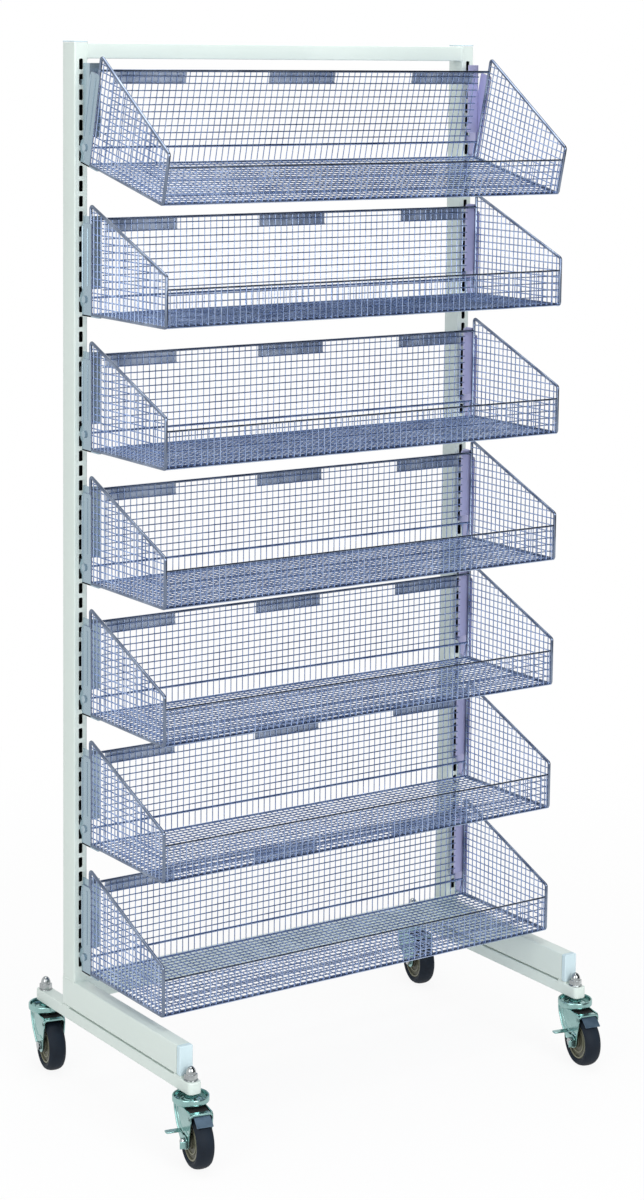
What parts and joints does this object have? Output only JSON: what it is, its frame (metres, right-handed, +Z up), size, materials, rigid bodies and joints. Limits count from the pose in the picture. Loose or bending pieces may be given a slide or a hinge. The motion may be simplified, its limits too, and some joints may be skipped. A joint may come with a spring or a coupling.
{
  "type": "bakery bread rack",
  "caption": "Mobile rack of two slotted posts on caster legs, carrying tilting wire-mesh baskets on hooked brackets for showing bread.",
  "frame": {"origin": "on the floor, at the middle of the rack's footprint", "axes": "+Z up, +X to the right seen from the front, front of the baskets towards -Y"},
  "size_m": [0.8764, 0.5862, 1.784],
  "materials": {
    "frame_paint": "off-white baked enamel, satin",
    "cap_plastic": "pale moulded plastic",
    "bracket_plate": "bright zinc plated sheet",
    "basket_wire": "bright plated welded wire",
    "nut_chrome": "chrome plated fasteners",
    "caster_zinc": "zinc plated pressed steel",
    "hub_plastic": "dark olive grey moulding",
    "tyre_rubber": "blue-black rubber"
  },
  "bodies": {
    "frame": {"top_beam": "frame_paint", "lower_beam": "frame_paint", "left_post": "frame_paint", "left_leg": "frame_paint", "left_caster_rail": "frame_paint", "right_post": "frame_paint", "right_leg": "frame_paint", "right_caster_rail": "frame_paint", "left_post_cap": "cap_plastic", "left_leg_cap": "cap_plastic", "right_post_cap": "cap_plastic", "right_leg_cap": "cap_plastic", "left_bracket_1": "bracket_plate", "left_bracket_2": "bracket_plate", "left_bracket_3": "bracket_plate", "left_bracket_4": "bracket_plate", "left_bracket_5": "bracket_plate", "left_bracket_6": "bracket_plate", "left_bracket_7": "bracket_plate", "right_bracket_1": "bracket_plate", "right_bracket_2": "bracket_plate", "right_bracket_3": "bracket_plate", "right_bracket_4": "bracket_plate", "right_bracket_5": "bracket_plate", "right_bracket_6": "bracket_plate", "right_bracket_7": "bracket_plate", "front_left_acorn_nut": "nut_chrome", "front_right_acorn_nut": "nut_chrome", "rear_left_acorn_nut": "nut_chrome", "rear_right_acorn_nut": "nut_chrome", "front_left_swivel_head": "caster_zinc", "front_right_swivel_head": "caster_zinc", "rear_left_swivel_head": "caster_zinc", "rear_right_swivel_head": "caster_zinc"},
    "basket_1": {"basket_1": "basket_wire"},
    "basket_2": {"basket_2": "basket_wire"},
    "basket_3": {"basket_3": "basket_wire"},
    "basket_4": {"basket_4": "basket_wire"},
    "basket_5": {"basket_5": "basket_wire"},
    "basket_6": {"basket_6": "basket_wire"},
    "basket_7": {"basket_7": "basket_wire"},
    "front_left_swivel": {"front_left_fork": "caster_zinc", "front_left_axle": "nut_chrome"},
    "front_left_wheel": {"front_left_hub": "hub_plastic", "front_left_tyre": "tyre_rubber"},
    "front_left_pedal": {"front_left_brake_pedal": "caster_zinc"},
    "front_right_swivel": {"front_right_fork": "caster_zinc", "front_right_axle": "nut_chrome"},
    "front_right_wheel": {"front_right_hub": "hub_plastic", "front_right_tyre": "tyre_rubber"},
    "front_right_pedal": {"front_right_brake_pedal": "caster_zinc"},
    "rear_left_swivel": {"rear_left_fork": "caster_zinc", "rear_left_axle": "nut_chrome"},
    "rear_left_wheel": {"rear_left_hub": "hub_plastic", "rear_left_tyre": "tyre_rubber"},
    "rear_right_swivel": {"rear_right_fork": "caster_zinc", "rear_right_axle": "nut_chrome"},
    "rear_right_wheel": {"rear_right_hub": "hub_plastic", "rear_right_tyre": "tyre_rubber"}
  },
  "joints": [
    {"name": "basket_1_tilt", "type": "hinge", "parent": "frame", "child": "basket_1", "pos_m": [0.0091, 0.12202, 1.61], "axis": [1, 0, 0], "range_deg": [-13, 0]},
    {"name": "basket_2_tilt", "type": "hinge", "parent": "frame", "child": "basket_2", "pos_m": [0.0091, 0.12202, 1.36], "axis": [1, 0, 0], "range_deg": [0, 13]},
    {"name": "basket_3_tilt", "type": "hinge", "parent": "frame", "child": "basket_3", "pos_m": [0.0091, 0.12202, 1.135], "axis": [1, 0, 0], "range_deg": [0, 13]},
    {"name": "basket_4_tilt", "type": "hinge", "parent": "frame", "child": "basket_4", "pos_m": [0.0091, 0.12202, 0.91], "axis": [1, 0, 0], "range_deg": [0, 13]},
    {"name": "basket_5_tilt", "type": "hinge", "parent": "frame", "child": "basket_5", "pos_m": [0.0091, 0.12202, 0.685], "axis": [1, 0, 0], "range_deg": [0, 13]},
    {"name": "basket_6_tilt", "type": "hinge", "parent": "frame", "child": "basket_6", "pos_m": [0.0091, 0.12202, 0.46], "axis": [1, 0, 0], "range_deg": [0, 13]},
    {"name": "basket_7_tilt", "type": "hinge", "parent": "frame", "child": "basket_7", "pos_m": [0.0091, 0.12202, 0.235], "axis": [1, 0, 0], "range_deg": [0, 5]},
    {"name": "front_left_swivel_turn", "type": "hinge", "parent": "frame", "child": "front_left_swivel", "pos_m": [-0.39091, -0.21898, 0.114], "axis": [0, 0, 1], "continuous": true},
    {"name": "front_left_wheel_spin", "type": "hinge", "parent": "front_left_swivel", "child": "front_left_wheel", "pos_m": [-0.39663, -0.24843, 0.045], "axis": [0.9816, -0.1908, 0], "continuous": true},
    {"name": "front_left_brake", "type": "hinge", "parent": "front_left_swivel", "child": "front_left_pedal", "pos_m": [-0.39663, -0.24843, 0.045], "axis": [-0.9816, 0.1908, 0], "range_deg": [0, 20]},
    {"name": "front_right_swivel_turn", "type": "hinge", "parent": "frame", "child": "front_right_swivel", "pos_m": [0.40909, -0.21898, 0.114], "axis": [0, 0, 1], "continuous": true},
    {"name": "front_right_wheel_spin", "type": "hinge", "parent": "front_right_swivel", "child": "front_right_wheel", "pos_m": [0.40337, -0.24843, 0.045], "axis": [0.9816, -0.1908, 0], "continuous": true},
    {"name": "front_right_brake", "type": "hinge", "parent": "front_right_swivel", "child": "front_right_pedal", "pos_m": [0.40337, -0.24843, 0.045], "axis": [-0.9816, 0.1908, 0], "range_deg": [0, 20]},
    {"name": "rear_left_swivel_turn", "type": "hinge", "parent": "frame", "child": "rear_left_swivel", "pos_m": [-0.39091, 0.26402, 0.114], "axis": [0, 0, 1], "continuous": true},
    {"name": "rear_left_wheel_spin", "type": "hinge", "parent": "rear_left_swivel", "child": "rear_left_wheel", "pos_m": [-0.39663, 0.23457, 0.045], "axis": [0.9816, -0.1908, 0], "continuous": true},
    {"name": "rear_right_swivel_turn", "type": "hinge", "parent": "frame", "child": "rear_right_swivel", "pos_m": [0.40909, 0.26402, 0.114], "axis": [0, 0, 1], "continuous": true},
    {"name": "rear_right_wheel_spin", "type": "hinge", "parent": "rear_right_swivel", "child": "rear_right_wheel", "pos_m": [0.40337, 0.23457, 0.045], "axis": [0.9816, -0.1908, 0], "continuous": true}
  ]
}
